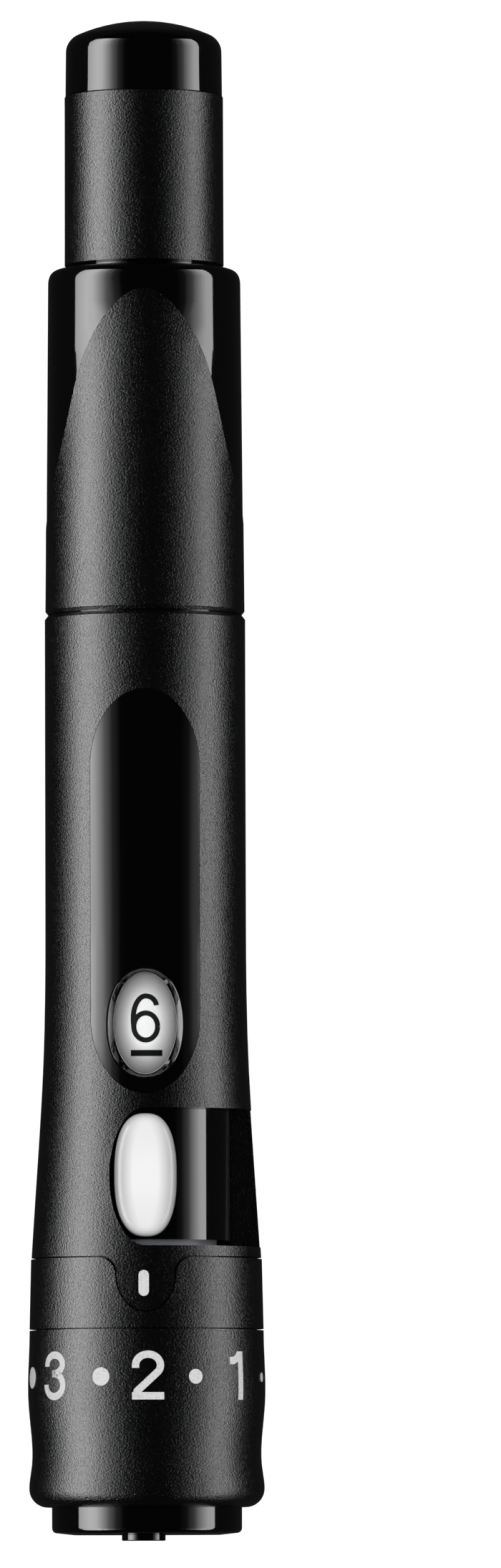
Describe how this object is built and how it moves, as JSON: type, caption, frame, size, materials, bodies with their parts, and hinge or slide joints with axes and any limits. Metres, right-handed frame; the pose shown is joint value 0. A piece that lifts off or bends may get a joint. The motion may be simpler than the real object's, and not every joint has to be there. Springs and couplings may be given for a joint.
{
  "type": "lancing device",
  "caption": "Pen-shaped finger pricker with a lancet drum, push button, sideways loading lever, counter window and a depth dial on its pull-off cap.",
  "frame": {"origin": "on the pen's axis, at the flat end face of the nose ring that touches the skin", "axes": "+Y along the pen toward the button; +Z out of the front, where the window and the lever are; +X toward the side that the lever slot opens to; the pen lies on its back"},
  "size_m": [0.0164, 0.105, 0.0166],
  "materials": {
    "black_gloss": "polished black, high gloss",
    "black_matte": "fine grained matte black",
    "lever_white": "glossy white",
    "counter_white": "satin white",
    "lens_clear": "clear polished plastic",
    "drum_grey": "satin grey",
    "drum_white": "translucent white",
    "lancet_plastic": "satin white",
    "inner_plastic": "natural satin",
    "bearing_plastic": "satin grey",
    "steel": "ground bright",
    "spring_steel": "drawn wire and strip"
  },
  "bodies": {
    "body": {"main_body": "black_matte", "info_panel": "black_gloss", "window_lens": "lens_clear", "rear_shell": "black_gloss", "tongue_sleeve": "black_matte", "drive_frame": "inner_plastic", "middle_bush": "bearing_plastic", "rear_bearing": "bearing_plastic"},
    "button": {"button_dome": "black_gloss", "button_sleeve": "black_matte", "cocking_pin": "steel", "button_spring": "spring_steel"},
    "cocking_rotor": {"cocking_rotor": "inner_plastic", "drive_spring": "spring_steel"},
    "drive_rotor": {"drive_rotor": "inner_plastic"},
    "ram": {"ram": "inner_plastic", "follower_pin": "steel"},
    "magazine": {"drum_housing": "drum_grey", "drum_core": "drum_white", "lancet_body_2": "lancet_plastic", "lancet_body_3": "lancet_plastic", "lancet_body_4": "lancet_plastic", "lancet_body_5": "lancet_plastic", "lancet_body_6": "lancet_plastic", "lancet_needle_2": "steel", "lancet_needle_3": "steel", "lancet_needle_4": "steel", "lancet_needle_5": "steel", "lancet_needle_6": "steel", "drum_carrier": "inner_plastic", "counter_ring": "counter_white"},
    "lancet": {"lancet_body_1": "lancet_plastic", "lancet_needle_1": "steel"},
    "lever": {"lever_pad": "lever_white", "lever_ring": "black_gloss", "index_spring": "spring_steel"},
    "cap": {"cap_collar": "black_matte", "click_spring": "spring_steel"},
    "dial": {"depth_dial": "black_matte"},
    "nose": {"nose_ring": "black_gloss"}
  },
  "joints": [
    {"name": "button_press", "type": "slide", "parent": "body", "child": "button", "axis": [0, -1, 0], "range_m": [0, 0.008], "stiffness_N_per_m": 350, "springref_m": -0.003, "deforming": ["button_spring"]},
    {"name": "cocking_turn", "type": "hinge", "parent": "body", "child": "cocking_rotor", "pos_m": [0, 0, 0], "axis": [0, 1, 0], "range_deg": [0, 180], "deforming": ["drive_spring"]},
    {"name": "release_turn", "type": "hinge", "parent": "body", "child": "drive_rotor", "pos_m": [0, 0, 0], "axis": [0, 1, 0], "range_deg": [0, 180], "deforming": ["drive_spring"]},
    {"name": "ram_stroke", "type": "slide", "parent": "body", "child": "ram", "axis": [0, -1, 0], "range_m": [0, 0.0056]},
    {"name": "lancet_stroke", "type": "slide", "parent": "magazine", "child": "lancet", "axis": [0, -1, 0], "range_m": [0, 0.0056]},
    {"name": "magazine_index", "type": "hinge", "parent": "body", "child": "magazine", "pos_m": [0, 0, 0], "axis": [0, 1, 0], "range_deg": [0, 300], "deforming": ["index_spring"]},
    {"name": "lever_swing", "type": "hinge", "parent": "body", "child": "lever", "pos_m": [0, 0, 0], "axis": [0, 1, 0], "range_deg": [0, 72], "deforming": ["index_spring"]},
    {"name": "cap_pull", "type": "slide", "parent": "body", "child": "cap", "axis": [0, -1, 0], "range_m": [0, 0.02]},
    {"name": "dial_turn", "type": "hinge", "parent": "cap", "child": "dial", "pos_m": [0, 0, 0], "axis": [0, 1, 0], "range_deg": [-77.14, 180], "deforming": ["click_spring"]},
    {"name": "nose_slide", "type": "slide", "parent": "cap", "child": "nose", "axis": [0, 1, 0], "range_m": [-0.00045, 0.00105]}
  ],
  "couplings": [
    {"joint": "cocking_turn", "follows": "button_press", "rad_per_m": 392.7},
    {"joint": "release_turn", "follows": "ram_stroke", "rad_per_m": 561},
    {"joint": "lancet_stroke", "follows": "ram_stroke", "ratio": 1},
    {"joint": "dial_turn", "follows": "nose_slide", "rad_per_m": 2992}
  ]
}
